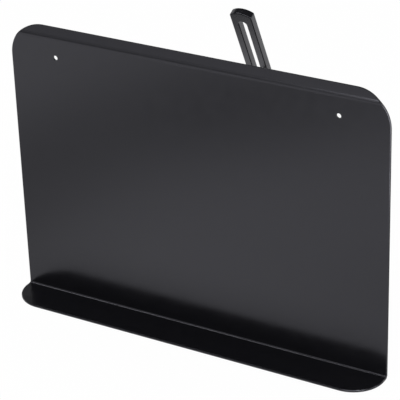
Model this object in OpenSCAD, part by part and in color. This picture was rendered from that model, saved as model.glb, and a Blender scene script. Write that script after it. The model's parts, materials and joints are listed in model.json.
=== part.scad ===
// Sheet music holder: a folded sheet-steel music desk carried on a slotted flat-steel bar.
// The desk tilts on a clamped hinge at the front of an arm, and the arm's saddle slides up
// and down the bar and is clamped through its slot. The holder stands on the underside of
// its ledge and on the foot of the bar. X is to the reader's right, Y to the back, Z up.

/* [Desk] */
// Width of the music desk
desk_w = 491; // [300:1:600]
// Height of the desk, from the top of the ledge to the tip of the upper lip
desk_h = 354; // [280:1:420]
// Thickness of the sheet steel
sheet_t = 2.5; // [1.5:0.1:3]
// Depth of the ledge in front of the desk
ledge_d = 46.5; // [40:0.5:70]
// Inner radius of the bend between the desk and its ledge
ledge_bend_r = 2; // [1:0.1:4]
// Straight length of the lip that is bent back along the top
lip_len = 12; // [6:0.5:25]
// Angle by which the top lip is bent back
lip_angle = 25; // [10:1:45]
// Inner radius of the lip's bend
lip_bend_r = 3; // [1:0.1:6]
// Radius of the two top corners
corner_r = 43; // [20:1:60]
// Radius of the two front corners of the ledge
ledge_corner_r = 39; // [10:1:45]
// Diameter of the accessory holes near the top corners
hole_d = 6; // [4:0.1:8]
// Distance of the accessory holes from the desk's sides
hole_inset = 62; // [30:1:100]
// Distance of the accessory holes below the tip of the upper lip
hole_drop = 37; // [25:1:100]

/* [Tilt hinge] */
// Height of the tilt axis above the surface that the ledge stands on
pivot_h = 172; // [140:1:220]
// Distance of the tilt axis behind the back of the desk
pivot_back = 30; // [26:1:40]
// Thickness of the two hinge ears
ear_t = 3; // [2:0.1:4]
// Radius of the ears round the tilt axis
ear_r = 14; // [10:0.5:18]
// Height of the ears' flanges on the back of the desk
ear_flange_h = 64; // [40:1:100]
// Width of the ears' flanges on the back of the desk
ear_flange_w = 22; // [15:1:35]
// Inner radius of the ears' bend
ear_bend_r = 2; // [1:0.1:4]
// Diameter of the tilt bolt
tilt_bolt_d = 8; // [6:0.5:10]
// Diameter of the tilt bolt's head
tilt_head_d = 18; // [14:0.5:22]
// Thickness of each friction washer between the arm and an ear
friction_washer_t = 1.5; // [0.8:0.1:3]
// Diameter of the friction washers
friction_washer_d = 24; // [18:0.5:28]
// Outer diameter of the bush in the arm's eye
bush_d = 12; // [11:0.5:16]

/* [Arm] */
// Thickness of the arm, cut from steel plate
arm_t = 8; // [5:0.5:12]
// Radius of the arm's eye
eye_r = 13; // [10:0.5:16]
// Distance from the tilt axis to the front face of the bar
arm_reach = 157; // [120:1:200]
// Height of the arm where it leaves its eye
arm_neck_h = 20; // [14:0.5:20]
// How far the arm's foot reaches above the arm's centre line, where it meets the saddle
arm_foot_rise = 27; // [15:1:40]
// How far the arm's foot reaches below the arm's centre line
arm_foot_drop = 13; // [8:0.5:14]

/* [Bar] */
// Angle between the bar and the upright desk
bar_tilt = 25.5; // [15:0.5:35]
// Length of the bar
bar_len = 401; // [380:1:500]
// Width of the bar
bar_w = 28.5; // [22:0.5:40]
// Thickness of the bar
bar_t = 9.5; // [5:0.5:12]
// Radius of the bar's shallow round ends
bar_end_r = 24; // [20:1:40]
// Width of the slot
slot_w = 10.5; // [10.5:0.1:14]
// Length of the slot over its round ends
slot_len = 250; // [180:1:300]
// Distance from the bar's upper tip to the slot
slot_margin = 14; // [8:0.5:30]
// Thickness of the rubber foot's sole under the bar
foot_sole = 3; // [2:0.5:8]
// Wall of the rubber foot round the bar
foot_wall = 2.5; // [1.5:0.1:4]
// Length of bar that the rubber foot covers
foot_len = 26; // [15:1:60]
// Radius of the rubber foot's upright corners
foot_corner_r = 4; // [1:0.5:6]

/* [Saddle and clamp] */
// Thickness of the saddle's steel
saddle_t = 3; // [2:0.1:4]
// Length of the saddle along the bar
saddle_len = 78; // [70:1:110]
// Distance from the arm's centre line down to the clamp bolt
clamp_drop = 30; // [28:1:40]
// How far the saddle's lips stop short of the back of the bar
lip_short = 2; // [1:0.1:4]
// Inner radius of the saddle's bends
saddle_bend_r = 2; // [1:0.1:3]
// Thickness of the plastic liner in the saddle
liner_t = 1.2; // [0.8:0.1:2]
// Diameter of the clamp bolt
clamp_bolt_d = 10; // [8:0.5:10]
// Diameter of the clamp bolt's head
clamp_head_d = 22; // [18:0.5:26]
// Height of the bolts' domed heads
head_h = 5; // [3:0.1:7]
// Height of the straight rim under the domes
head_rim_h = 1.2; // [0.8:0.1:2]
// Thickness of the pressure plate behind the bar
press_t = 4; // [2:0.5:8]
// Width of the pressure plate
press_w = 25; // [20:1:40]
// Length of the pressure plate along the bar
press_len = 40; // [25:1:60]
// Radius of the pressure plate's corners
press_corner_r = 4; // [1:0.5:8]
// Thickness of the steel washers under the knobs
washer_t = 1.8; // [1:0.1:3]
// Diameter of the washer under the clamp knob
clamp_washer_d = 24; // [20:0.5:28]
// Diameter of the washer under the tilt knob
tilt_washer_d = 20; // [16:0.5:24]

/* [Knobs] */
// Diameter of the clamp knob over its lobes
clamp_knob_d = 44; // [36:1:60]
// Height of the clamp knob
clamp_knob_h = 30; // [24:1:40]
// Diameter of the tilt knob over its lobes
tilt_knob_d = 40; // [34:1:46]
// Height of the tilt knob
tilt_knob_h = 26; // [22:1:36]
// Number of lobes on each knob
knob_lobes = 5; // [4:1:8]
// Radius of each lobe
lobe_r = 6; // [4:0.5:8]
// Distance from the lobes' tips out to the centres of the hollows between them
hollow_out = 8; // [6:0.5:14]
// Height of the round neck under the grip
knob_neck_h = 8; // [4:0.5:12]
// Diameter of the round neck under the grip
knob_neck_d = 26; // [22:0.5:30]
// Radius of the grip's rims
knob_rim_r = 4; // [1:0.5:6]
// Wall of the threaded insert
insert_wall = 3; // [2:0.1:4]
// Length of the threaded insert
insert_len = 15; // [10:0.5:18]
// How far the bolt reaches into the knob
thread_len = 13; // [8:0.5:18]
// Diameter of the cap in the knob's top
cap_d = 18; // [14:0.5:24]
// Thickness of the cap at its rim
cap_h = 2.5; // [1.5:0.1:4]
// Rise of the cap's dome over the knob's top
cap_rise = 1; // [0.5:0.1:2]

/* [Fits] */
// Gap between the bar and the parts that slide on it
slide_gap = 0.25; // [0.1:0.05:0.5]
// Gap between flat faces that turn on each other
turn_gap = 0.1; // [0.05:0.05:0.3]
// Radial gap of a bolt in the part that turns on it
run_fit = 0.05; // [0.02:0.01:0.1]
// Radial gap of a bolt in a clearance hole
bolt_fit = 0.25; // [0.1:0.05:0.5]

/* [Hidden] */
$fn = 96;

// Colours as seen in the photograph, with bright zinc and brass on the hidden fasteners.
coat = [0.13, 0.13, 0.14];
zinc = [0.72, 0.73, 0.74];
brass = [0.72, 0.57, 0.28];
plastic = [0.07, 0.07, 0.075];
nylon = [0.18, 0.18, 0.19];

// A length that reaches past every piece, for cutting.
far = 4 * (desk_w + desk_h);

// The lip's outer bend radius, and the height where the lip starts to bend.
lip_out_r = lip_bend_r + sheet_t;
lip_start = sheet_t + desk_h - lip_out_r * sin(lip_angle) - lip_len * cos(lip_angle);

// The tilt axis, and the point of the bar's front face that the arm points at.
pivot_y = sheet_t + pivot_back;
seat_y = pivot_y + arm_reach * cos(bar_tilt);
seat_z = pivot_h + arm_reach * sin(bar_tilt);
// The same point as a distance up the bar from its foot, and where the foot stands.
seat_s = seat_z / cos(bar_tilt);
foot_y = seat_y + seat_z * tan(bar_tilt);
// Places up the bar of its lower tip, the clamp bolt and the slot's upper end.
bar_low = foot_sole / cos(bar_tilt);
clamp_s = seat_s - clamp_drop;
slot_top = bar_low + bar_len - slot_margin;
// The middle of the whole holder from front to back, which becomes the origin.
middle_y = (foot_y + (bar_t + foot_wall) / cos(bar_tilt) - ledge_d) / 2;

// Stack of the hinge along X: half the space between the ears, and the ears' outer faces.
ear_in = arm_t / 2 + friction_washer_t + turn_gap;
ear_out = ear_in + ear_t;
// Stack of the saddle in front of the bar and of the clamp behind it.
saddle_in = slide_gap + liner_t;
saddle_out = saddle_in + saddle_t;
press_v = bar_t + slide_gap;
washer_v = press_v + press_t;
clamp_knob_v = washer_v + washer_t + turn_gap;
tilt_knob_x = ear_out + washer_t + turn_gap;
// The saddle reaches as far past the clamp bolt as past the arm's foot.
saddle_low = seat_s + (arm_foot_rise - clamp_drop - saddle_len) / 2;

// Puts children into the part's frame.
module place() {
    translate([0, -middle_y, 0]) children();
}

// Puts children at s up the bar and v behind its front face, with Z along the bar.
module at_bar(s, v) {
    translate([0, foot_y, 0]) rotate([bar_tilt, 0, 0]) translate([0, v, s]) children();
}

// Puts children on the tilt axis, upright like the desk.
module at_pivot() {
    translate([0, pivot_y, pivot_h]) children();
}

// Puts children on the tilt axis, with Y along the arm.
module at_arm() {
    at_bar(seat_s, -arm_reach) children();
}

// Extrudes an outline drawn in Y and Z along X, centred.
module along_x(length) {
    rotate([90, 0, 90]) linear_extrude(length, center = true) children();
}

// Extrudes an outline drawn in X and Z towards the back, from Y = 0.
module to_back(depth) {
    translate([0, depth, 0]) rotate([90, 0, 0]) linear_extrude(depth) children();
}

// A part of a ring, from angle a to a + span, span up to 90 degrees.
module ring_sector(inner_r, outer_r, a, span) {
    intersection() {
        difference() {
            circle(outer_r);
            circle(inner_r);
        }
        rotate(a) square(2 * outer_r);
        rotate(a + span - 90) square(2 * outer_r);
    }
}

// A rectangle centred in X, from y0 to y1, whose two corners at y0 are round.
module round_low_rect(w, y0, y1, r) {
    translate([-w / 2, y0 + r]) square([w, y1 - y0 - r]);
    translate([-w / 2 + r, y0]) square([w - 2 * r, r + 0.01]);
    for (side = [-1, 1]) translate([side * (w / 2 - r), y0 + r]) circle(r);
}

// A rectangle centred on the origin with four round corners.
module round_rect(w, h, r) {
    square([w, h - 2 * r], center = true);
    square([w - 2 * r, h], center = true);
    for (x = [r - w / 2, w / 2 - r], y = [r - h / 2, h / 2 - r]) translate([x, y]) circle(r);
}

// A slot along Y that is centred on the origin.
module slot_outline(w, length) {
    square([w, length - w], center = true);
    for (end = [-1, 1]) translate([0, end * (length - w) / 2]) circle(w / 2);
}

// The desk's side view: ledge, bend, upright sheet and the lip bent back at the top.
module desk_profile() {
    translate([-ledge_d, 0]) square([ledge_d - ledge_bend_r, sheet_t]);
    translate([-ledge_bend_r, sheet_t + ledge_bend_r])
        ring_sector(ledge_bend_r, ledge_bend_r + sheet_t, -90, 90);
    translate([0, sheet_t + ledge_bend_r])
        square([sheet_t, lip_start - sheet_t - ledge_bend_r]);
    translate([lip_out_r, lip_start]) {
        ring_sector(lip_bend_r, lip_out_r, 180 - lip_angle, lip_angle);
        rotate(-lip_angle) translate([-lip_out_r, 0]) square([sheet_t, lip_len]);
    }
}

// Music desk: one folded sheet with round corners and two accessory holes.
module desk_plate() {
    color(coat) difference() {
        intersection() {
            along_x(desk_w) desk_profile();
            translate([0, -far / 2, 0]) to_back(far) mirror([0, 1])
                round_low_rect(desk_w, -sheet_t - desk_h, 1, corner_r);
            translate([0, 0, -1]) linear_extrude(far)
                round_low_rect(desk_w, -ledge_d, far, ledge_corner_r);
        }
        for (side = [-1, 1])
            translate([side * (desk_w / 2 - hole_inset), -1, sheet_t + desk_h - hole_drop])
                rotate([-90, 0, 0]) cylinder(d = hole_d, h = sheet_t + 2);
    }
}

// Side view of one hinge ear: square flange edges, then a taper to its round tip.
module ear_outline() {
    half_h = ear_flange_h / 2;
    flange_y = ear_t - pivot_back;
    lean = atan2(half_h - ear_r, -flange_y);
    tip = ear_r * [sin(lean), cos(lean)];
    polygon([
        [-pivot_back, -half_h], [flange_y, -half_h], [tip.x, -tip.y],
        tip, [flange_y, half_h], [-pivot_back, half_h]
    ]);
    circle(ear_r);
}

// The ear's plan view on the right-hand side: the ear, its bend and its flange on the desk.
module ear_plan() {
    bend_x = ear_out + ear_bend_r;
    bend_y = ear_t + ear_bend_r - pivot_back;
    translate([ear_in, bend_y]) square([ear_t, ear_r - bend_y]);
    translate([bend_x, bend_y]) ring_sector(ear_bend_r, ear_bend_r + ear_t, 180, 90);
    translate([bend_x, -pivot_back]) square([ear_flange_w - ear_t - ear_bend_r, ear_t]);
}

// One hinge ear, folded from sheet and welded by its flange to the back of the desk.
module hinge_ear() {
    color(coat) intersection() {
        linear_extrude(ear_flange_h, center = true) ear_plan();
        along_x(far) ear_outline();
    }
}

// Right ear, with a round hole for the tilt bolt.
module right_hinge_ear() {
    at_pivot() color(coat) difference() {
        hinge_ear();
        rotate([0, 90, 0]) cylinder(d = tilt_bolt_d + 2 * bolt_fit, h = far);
    }
}

// Left ear, with a square hole that keeps the tilt bolt from turning.
module left_hinge_ear() {
    at_pivot() color(coat) difference() {
        mirror([1, 0, 0]) hinge_ear();
        neck = tilt_bolt_d + 2 * bolt_fit;
        translate([-far / 2, 0, 0]) cube([far, neck, neck], center = true);
    }
}

// A coach bolt along Z: domed head below Z = 0, square neck above it, then the shank.
module coach_bolt(d, head_d, neck_h, length) {
    dome_h = head_h - head_rim_h;
    dome_r = (head_d * head_d / 4 + dome_h * dome_h) / (2 * dome_h);
    rotate_extrude() {
        translate([0, -head_rim_h]) square([head_d / 2, head_rim_h]);
        intersection() {
            translate([0, dome_r - head_h]) circle(dome_r);
            translate([0, -head_h]) square([head_d / 2, dome_h]);
        }
    }
    translate([-d / 2, -d / 2, 0]) cube([d, d, neck_h]);
    cylinder(d = d, h = length);
}

// A flat ring along Z.
module ring(outer_d, inner_d, h) {
    difference() {
        cylinder(d = outer_d, h = h);
        translate([0, 0, -1]) cylinder(d = inner_d, h = h + 2);
    }
}

// Tilt bolt: through both ears and the arm's eye, into the tilt knob.
module tilt_bolt() {
    length = ear_out + tilt_knob_x + thread_len;
    at_pivot() color(zinc) translate([-ear_out, 0, 0]) rotate([0, 90, 0])
        coach_bolt(tilt_bolt_d, tilt_head_d, ear_t, length);
}

// Steel washer between the right ear and the tilt knob.
module tilt_washer() {
    at_pivot() color(zinc) translate([ear_out, 0, 0]) rotate([0, 90, 0])
        ring(tilt_washer_d, tilt_bolt_d + 2 * bolt_fit, washer_t);
}

// Side view of the arm: a round eye, and a neck that widens to the foot at the saddle.
module arm_outline() {
    foot_v = arm_reach - saddle_out;
    circle(eye_r);
    polygon([
        [0, -arm_neck_h / 2], [foot_v, -arm_foot_drop],
        [foot_v, arm_foot_rise], [0, arm_neck_h / 2]
    ]);
}

// Arm, cut from steel plate and welded to the saddle.
module carrier_arm() {
    at_arm() color(coat) difference() {
        along_x(arm_t) arm_outline();
        rotate([0, 90, 0]) cylinder(d = bush_d + 2 * run_fit, h = far, center = true);
    }
}

// Bush in the arm's eye, which turns on the tilt bolt.
module arm_bush() {
    at_arm() color(nylon) translate([-arm_t / 2, 0, 0]) rotate([0, 90, 0])
        ring(bush_d, tilt_bolt_d + 2 * run_fit, arm_t);
}

// Two friction washers, one on each side of the arm's eye.
module friction_washers() {
    at_arm() color(nylon) for (x = [arm_t / 2, -arm_t / 2 - friction_washer_t])
        translate([x, 0, 0]) rotate([0, 90, 0])
            ring(friction_washer_d, tilt_bolt_d + 2 * run_fit, friction_washer_t);
}

// Square hole along the clamp bolt through the front of the saddle and its liner.
module neck_hole() {
    neck = clamp_bolt_d + 2 * bolt_fit;
    at_bar(clamp_s, -saddle_out) cube([neck, 2 * saddle_out, neck], center = true);
}

// A channel round the front and sides of the bar, with the outline of its inner space cut out.
module channel(gap, wall, outer_r) {
    at_bar(saddle_low, 0) linear_extrude(saddle_len) difference() {
        round_low_rect(bar_w + 2 * (gap + wall), -gap - wall, bar_t - lip_short, outer_r);
        children();
    }
}

// Saddle: a folded channel that guides the arm on the bar.
module saddle() {
    color(coat) difference() {
        channel(saddle_in, saddle_t, saddle_bend_r + saddle_t)
            round_low_rect(bar_w + 2 * saddle_in, -saddle_in, bar_t, saddle_bend_r);
        neck_hole();
    }
}

// Plastic liner between the saddle and the bar.
module saddle_liner() {
    inner_w = bar_w + 2 * slide_gap;
    color(nylon) difference() {
        channel(slide_gap, liner_t - run_fit, saddle_bend_r)
            translate([-inner_w / 2, -slide_gap]) square([inner_w, 2 * bar_t]);
        neck_hole();
    }
}

// Clamp bolt: its head in front of the saddle, its shank through the slot into the knob.
module clamp_bolt() {
    length = saddle_out + clamp_knob_v + thread_len;
    at_bar(clamp_s, -saddle_out) color(zinc) rotate([-90, 0, 0])
        coach_bolt(clamp_bolt_d, clamp_head_d, saddle_t, length);
}

// Pressure plate behind the bar, with rounded corners.
module pressure_plate() {
    at_bar(clamp_s, press_v) color(zinc) to_back(press_t) difference() {
        round_rect(press_w, press_len, press_corner_r);
        circle(d = clamp_bolt_d + 2 * bolt_fit);
    }
}

// Steel washer between the pressure plate and the clamp knob.
module clamp_washer() {
    at_bar(clamp_s, washer_v) color(zinc) rotate([-90, 0, 0])
        ring(clamp_washer_d, clamp_bolt_d + 2 * bolt_fit, washer_t);
}

// The bar's outline: straight sides and shallow round ends, grown by a gap on every side.
module bar_outline(grow) {
    end_r = bar_end_r + grow;
    length = bar_len + 2 * grow;
    translate([0, -grow]) intersection() {
        translate([-bar_w / 2 - grow, 0]) square([bar_w + 2 * grow, length]);
        union() {
            translate([0, end_r]) circle(end_r);
            translate([0, length - end_r]) circle(end_r);
            translate([-end_r, end_r]) square([2 * end_r, length - 2 * end_r]);
        }
    }
}

// Flat steel bar with one long slot.
module slotted_bar() {
    color(coat) difference() {
        at_bar(bar_low, 0) to_back(bar_t) bar_outline(0);
        at_bar(slot_top - slot_len / 2, -1) to_back(bar_t + 2) slot_outline(slot_w, slot_len);
    }
}

// Rubber foot: a cap over the bar's lower end, cut level where it stands.
module bar_foot() {
    cap_v = bar_t + 2 * foot_wall;
    color(plastic) difference() {
        at_bar(-bar_t - 2 * foot_wall, bar_t / 2) linear_extrude(bar_low + foot_len + cap_v)
            round_rect(bar_w + 2 * foot_wall, cap_v, foot_corner_r);
        at_bar(bar_low, -run_fit) to_back(bar_t + 2 * run_fit) bar_outline(run_fit);
        translate([-far / 2, -far / 2, -far]) cube(far);
    }
}

// Outline of a lobed grip: round lobes that run smoothly into round hollows.
module star_outline(d) {
    lobe_c = d / 2 - lobe_r;
    hollow_c = d / 2 + hollow_out;
    step = 180 / knob_lobes;
    hollow_r = norm([hollow_c * cos(step) - lobe_c, hollow_c * sin(step)]) - lobe_r;
    difference() {
        polygon([for (n = [0 : 2 * knob_lobes - 1])
            (n % 2 == 0 ? lobe_c : hollow_c) * [cos(n * step), sin(n * step)]]);
        for (n = [0 : knob_lobes - 1])
            rotate((2 * n + 1) * step) translate([hollow_c, 0]) circle(hollow_r);
    }
    for (n = [0 : knob_lobes - 1])
        rotate(2 * n * step) translate([lobe_c, 0]) circle(lobe_r);
}

// Half section of a grip from its lower to its upper rim, both of them round.
module grip_section(d, low, high) {
    translate([0, low]) square([d / 2 - knob_rim_r, high - low]);
    translate([0, low + knob_rim_r]) square([d / 2, high - low - 2 * knob_rim_r]);
    for (z = [low + knob_rim_r, high - knob_rim_r])
        translate([d / 2 - knob_rim_r, z]) circle(knob_rim_r);
}

// A lobed knob along Z: neck and grip, with seats for its insert and its cap.
module lobed_knob(d, h, bolt_d) {
    color(plastic) difference() {
        union() {
            cylinder(d = knob_neck_d, h = knob_neck_h + knob_rim_r);
            intersection() {
                translate([0, 0, knob_neck_h]) linear_extrude(h - knob_neck_h) star_outline(d);
                rotate_extrude() grip_section(d, knob_neck_h, h);
            }
        }
        translate([0, 0, -1]) cylinder(d = bolt_d + 2 * insert_wall, h = insert_len + 1);
        translate([0, 0, -1]) cylinder(d = bolt_d + 2 * bolt_fit, h = h);
        translate([0, 0, h - cap_h]) cylinder(d = cap_d, h = cap_h + 1);
    }
}

// Threaded metal insert of a knob.
module knob_insert(bolt_d) {
    color(brass) ring(bolt_d + 2 * (insert_wall - run_fit), bolt_d + 2 * run_fit, insert_len);
}

// Slightly domed cap in the top of a knob.
module knob_cap(h) {
    cap_r = cap_d / 2 - run_fit;
    dome_r = (cap_r * cap_r + cap_rise * cap_rise) / (2 * cap_rise);
    color(plastic) translate([0, 0, h - cap_h]) rotate_extrude() {
        square([cap_r, cap_h]);
        intersection() {
            translate([0, cap_h + cap_rise - dome_r]) circle(dome_r);
            translate([0, cap_h]) square([cap_r, cap_rise]);
        }
    }
}

// Puts a knob, drawn along Z from its seat, behind the bar or at the right of the hinge.
module at_clamp_knob() {
    at_bar(clamp_s, clamp_knob_v) rotate([-90, 0, 0]) children();
}

module at_tilt_knob() {
    at_pivot() translate([tilt_knob_x, 0, 0]) rotate([0, 90, 0]) children();
}

module clamp_knob() { at_clamp_knob() lobed_knob(clamp_knob_d, clamp_knob_h, clamp_bolt_d); }
module clamp_knob_insert() { at_clamp_knob() knob_insert(clamp_bolt_d); }
module clamp_knob_cap() { at_clamp_knob() knob_cap(clamp_knob_h); }
module tilt_knob() { at_tilt_knob() lobed_knob(tilt_knob_d, tilt_knob_h, tilt_bolt_d); }
module tilt_knob_insert() { at_tilt_knob() knob_insert(tilt_bolt_d); }
module tilt_knob_cap() { at_tilt_knob() knob_cap(tilt_knob_h); }

place() slotted_bar();
place() bar_foot();
place() carrier_arm();
place() arm_bush();
place() friction_washers();
place() saddle();
place() saddle_liner();
place() clamp_bolt();
place() pressure_plate();
place() clamp_washer();
place() clamp_knob();
place() clamp_knob_insert();
place() clamp_knob_cap();
place() desk_plate();
place() left_hinge_ear();
place() right_hinge_ear();
place() tilt_bolt();
place() tilt_washer();
place() tilt_knob();
place() tilt_knob_insert();
place() tilt_knob_cap();
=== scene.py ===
import json
import math

import bmesh
import bpy
from mathutils import Matrix, Vector

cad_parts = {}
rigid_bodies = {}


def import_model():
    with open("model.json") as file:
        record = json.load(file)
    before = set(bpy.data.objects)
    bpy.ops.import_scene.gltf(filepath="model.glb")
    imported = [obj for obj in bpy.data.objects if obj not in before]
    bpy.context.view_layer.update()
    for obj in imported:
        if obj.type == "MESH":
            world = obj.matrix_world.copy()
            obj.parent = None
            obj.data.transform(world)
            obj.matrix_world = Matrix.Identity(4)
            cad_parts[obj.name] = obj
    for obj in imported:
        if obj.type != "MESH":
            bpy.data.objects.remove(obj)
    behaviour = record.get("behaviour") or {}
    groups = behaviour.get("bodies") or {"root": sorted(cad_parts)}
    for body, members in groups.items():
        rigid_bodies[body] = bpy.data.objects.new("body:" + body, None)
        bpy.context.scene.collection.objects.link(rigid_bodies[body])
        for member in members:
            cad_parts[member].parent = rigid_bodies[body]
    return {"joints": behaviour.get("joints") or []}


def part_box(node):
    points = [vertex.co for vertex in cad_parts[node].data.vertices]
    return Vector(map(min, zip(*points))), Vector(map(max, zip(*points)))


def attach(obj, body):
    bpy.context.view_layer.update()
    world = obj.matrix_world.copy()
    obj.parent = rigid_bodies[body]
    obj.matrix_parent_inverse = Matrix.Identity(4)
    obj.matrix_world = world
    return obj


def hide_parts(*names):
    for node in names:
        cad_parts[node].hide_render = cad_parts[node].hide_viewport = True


for leftover in list(bpy.data.objects):
    bpy.data.objects.remove(leftover)
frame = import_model()
joints = {joint["name"]: joint for joint in frame["joints"]}
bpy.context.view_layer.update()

# Camera
# The photograph is taken from the reader's right and above, with a long lens that is rolled
# by about two degrees. All angles and the lens come from the desk's own straight edges.
camera_azimuth = math.radians(30.363)
camera_elevation = math.radians(27.460)
camera_roll = math.radians(1.930)
camera_place = (1.00175, -1.82736, 1.19982)
camera_lens_mm = 172.37
camera_sensor_mm = 36.0

camera_turn = (
    Matrix.Rotation(camera_azimuth, 3, "Z")
    @ Matrix.Rotation(math.pi / 2 - camera_elevation, 3, "X")
    @ Matrix.Rotation(-camera_roll, 3, "Z")
)
bpy.ops.object.camera_add(location=camera_place, rotation=camera_turn.to_euler())
camera = bpy.context.object
camera.data.sensor_width = camera_sensor_mm
camera.data.lens = camera_lens_mm
bpy.context.scene.camera = camera


# Music desk
# One blank of 2.5 mm sheet steel, cut with round corners and two accessory holes, folded
# forward along the bottom for the ledge and slightly back along the top to stiffen it, and
# powder-coated black. Its cut edges are broken on the reader's side before it is coated.
sheet_t = 0.0025
ledge_depth = 0.0465
ledge_bend_r = 0.002
lip_angle = math.radians(25)
lip_length = 0.0092
lip_front_r = 0.018
top_corner_r = 0.043
ledge_corner_r = 0.039
hole_r = 0.003
hole_inset = 0.062
hole_drop = 0.037
edge_break = 0.0007
coat_round = 0.00012
corner_steps = 32
fold_steps = 8
sharp_edge = math.radians(35)
towards_reader = (math.pi / 2, 0, 0)
nearly = 1e-5
# The part of its range in which a noise spends most of its time.
noise_span = (0.3, 0.7)


def active(obj):
    """Selects one object alone and makes it the active one."""
    bpy.ops.object.select_all(action="DESELECT")
    obj.select_set(True)
    bpy.context.view_layer.objects.active = obj
    return obj


def select_verts(test):
    """In edit mode, selects the points whose place passes a test."""
    mesh = bmesh.from_edit_mesh(bpy.context.object.data)
    bpy.ops.mesh.select_mode(type="VERT")
    bpy.ops.mesh.select_all(action="DESELECT")
    for vert in mesh.verts:
        vert.select = test(vert.co)
    mesh.select_flush_mode()
    bmesh.update_edit_mesh(bpy.context.object.data)


def select_edges(test):
    """In edit mode, selects the edges that pass a test."""
    mesh = bmesh.from_edit_mesh(bpy.context.object.data)
    bpy.ops.mesh.select_mode(type="EDGE")
    bpy.ops.mesh.select_all(action="DESELECT")
    for edge in mesh.edges:
        edge.select = test(edge)
    mesh.select_flush_mode()
    bmesh.update_edit_mesh(bpy.context.object.data)


def select_edges_where(test):
    """In edit mode, selects the edges whose two ends both pass a test of place."""
    select_edges(lambda edge: all(test(vert.co) for vert in edge.verts))


def settle(obj):
    """Puts a piece's place, turn and size into its mesh."""
    active(obj)
    bpy.ops.object.transform_apply(location=True, rotation=True, scale=True)
    return obj


def apply_modifier(obj, name, kind, **settings):
    """Adds a modifier with these settings and applies it."""
    active(obj)
    modifier = obj.modifiers.new(name, kind)
    for key, value in settings.items():
        setattr(modifier, key, value)
    bpy.ops.object.modifier_apply(modifier=name)


def combine(obj, tool, operation):
    """Cuts, trims or joins a piece with a tool object, which is then thrown away."""
    apply_modifier(obj, "combine", "BOOLEAN", operation=operation, object=tool, solver="EXACT")
    bpy.data.objects.remove(tool)


def soften(obj, width, segments=3, sharp=sharp_edge, clamp=True):
    """Rounds a piece's sharp edges and shades it smooth."""
    apply_modifier(
        obj, "soften", "BEVEL", width=width, segments=segments, limit_method="ANGLE",
        angle_limit=sharp, use_clamp_overlap=clamp,
    )
    active(obj)
    bpy.ops.object.shade_smooth_by_angle(angle=sharp)
    apply_modifier(obj, "flat_faces", "WEIGHTED_NORMAL", mode="FACE_AREA", weight=100)


def rod(name, radius, depth, place, turn=(0, 0, 0), sides=96):
    """A round rod, as the start of a piece or as a drill."""
    bpy.ops.mesh.primitive_cylinder_add(
        vertices=sides, radius=radius, depth=depth, location=place, rotation=turn
    )
    made = bpy.context.object
    made.name = made.data.name = name
    return settle(made)


def thicken(obj, gauge, towards):
    """Gives a folded surface its gauge, behind the side that looks towards a direction."""
    active(obj)
    bpy.ops.object.mode_set(mode="EDIT")
    bpy.ops.mesh.select_all(action="SELECT")
    bpy.ops.mesh.normals_make_consistent(inside=False)
    bpy.ops.object.mode_set(mode="OBJECT")
    web = max(obj.data.polygons, key=lambda face: face.area)
    looks_out = web.normal.dot(Vector(towards)) > 0
    apply_modifier(
        obj, "gauge", "SOLIDIFY", thickness=gauge, offset=-1 if looks_out else 1,
        use_even_offset=True,
    )
    bpy.ops.object.mode_set(mode="EDIT")
    bpy.ops.mesh.select_all(action="SELECT")
    bpy.ops.mesh.normals_make_consistent(inside=False)
    bpy.ops.object.mode_set(mode="OBJECT")


def fold(obj, first_z, run, angle, face_y):
    """Folds the flat blank about X, over a run of it that starts at a height on the sheet."""
    active(obj)
    bpy.ops.object.mode_set(mode="EDIT")
    way = 1 if run > 0 else -1
    lines = [first_z + run * step / fold_steps for step in range(fold_steps + 1)]
    for line_z in lines:
        bpy.ops.mesh.select_all(action="SELECT")
        bpy.ops.mesh.bisect(plane_co=(0, face_y, line_z), plane_no=(0, 0, 1))
    # The outermost line comes first, so that each line is still flat when its turn comes.
    for step, line_z in reversed(list(enumerate(lines))):
        share = angle / fold_steps * (0.5 if step in (0, fold_steps) else 1)
        select_verts(lambda co: way * (co.z - line_z) > nearly)
        bpy.ops.transform.rotate(
            value=share, orient_axis="X", center_override=(0, face_y, line_z)
        )
    bpy.ops.object.mode_set(mode="OBJECT")


# The flat blank shows the front of the sheet. A fold takes up the length of its bend there.
plate_low, plate_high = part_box("desk_plate")
face_y = plate_low.y + ledge_depth
desk_half_w = (plate_high.x - plate_low.x) / 2
lip_fold_z = (
    plate_high.z - lip_front_r * math.sin(lip_angle) - lip_length * math.cos(lip_angle)
)
lip_bend_run = lip_front_r * lip_angle
ledge_fold_z = plate_low.z + sheet_t + ledge_bend_r
ledge_bend_run = ledge_bend_r * math.pi / 2
blank_top = lip_fold_z + lip_bend_run + lip_length
blank_bottom = ledge_fold_z - ledge_bend_run - (ledge_depth - ledge_bend_r)

bpy.ops.mesh.primitive_plane_add(size=1, rotation=towards_reader)
desk = bpy.context.object
desk.name = desk.data.name = "music_desk"
desk.location = (0, face_y, (blank_top + blank_bottom) / 2)
desk.scale = (2 * desk_half_w, blank_top - blank_bottom, 1)
settle(desk)
bpy.ops.object.mode_set(mode="EDIT")
for corner_r, end_z in ((top_corner_r, blank_top), (ledge_corner_r, blank_bottom)):
    select_verts(lambda co: abs(co.z - end_z) < nearly)
    bpy.ops.mesh.bevel(offset=corner_r, segments=corner_steps, profile=0.5, affect="VERTICES")
bpy.ops.object.mode_set(mode="OBJECT")
fold(desk, lip_fold_z, lip_bend_run, lip_angle, face_y)
fold(desk, ledge_fold_z, -ledge_bend_run, math.pi / 2, face_y)
# The gauge is added behind the sheet's first points, so those stay the points of its front.
front_points = len(desk.data.vertices)
thicken(desk, sheet_t, (0, -1, 0))


def is_front_arris(edge):
    """True for a sharp edge of the sheet on the reader's side."""
    in_front = all(vert.index < front_points for vert in edge.verts)
    return in_front and edge.calc_face_angle(0) > sharp_edge


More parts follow.
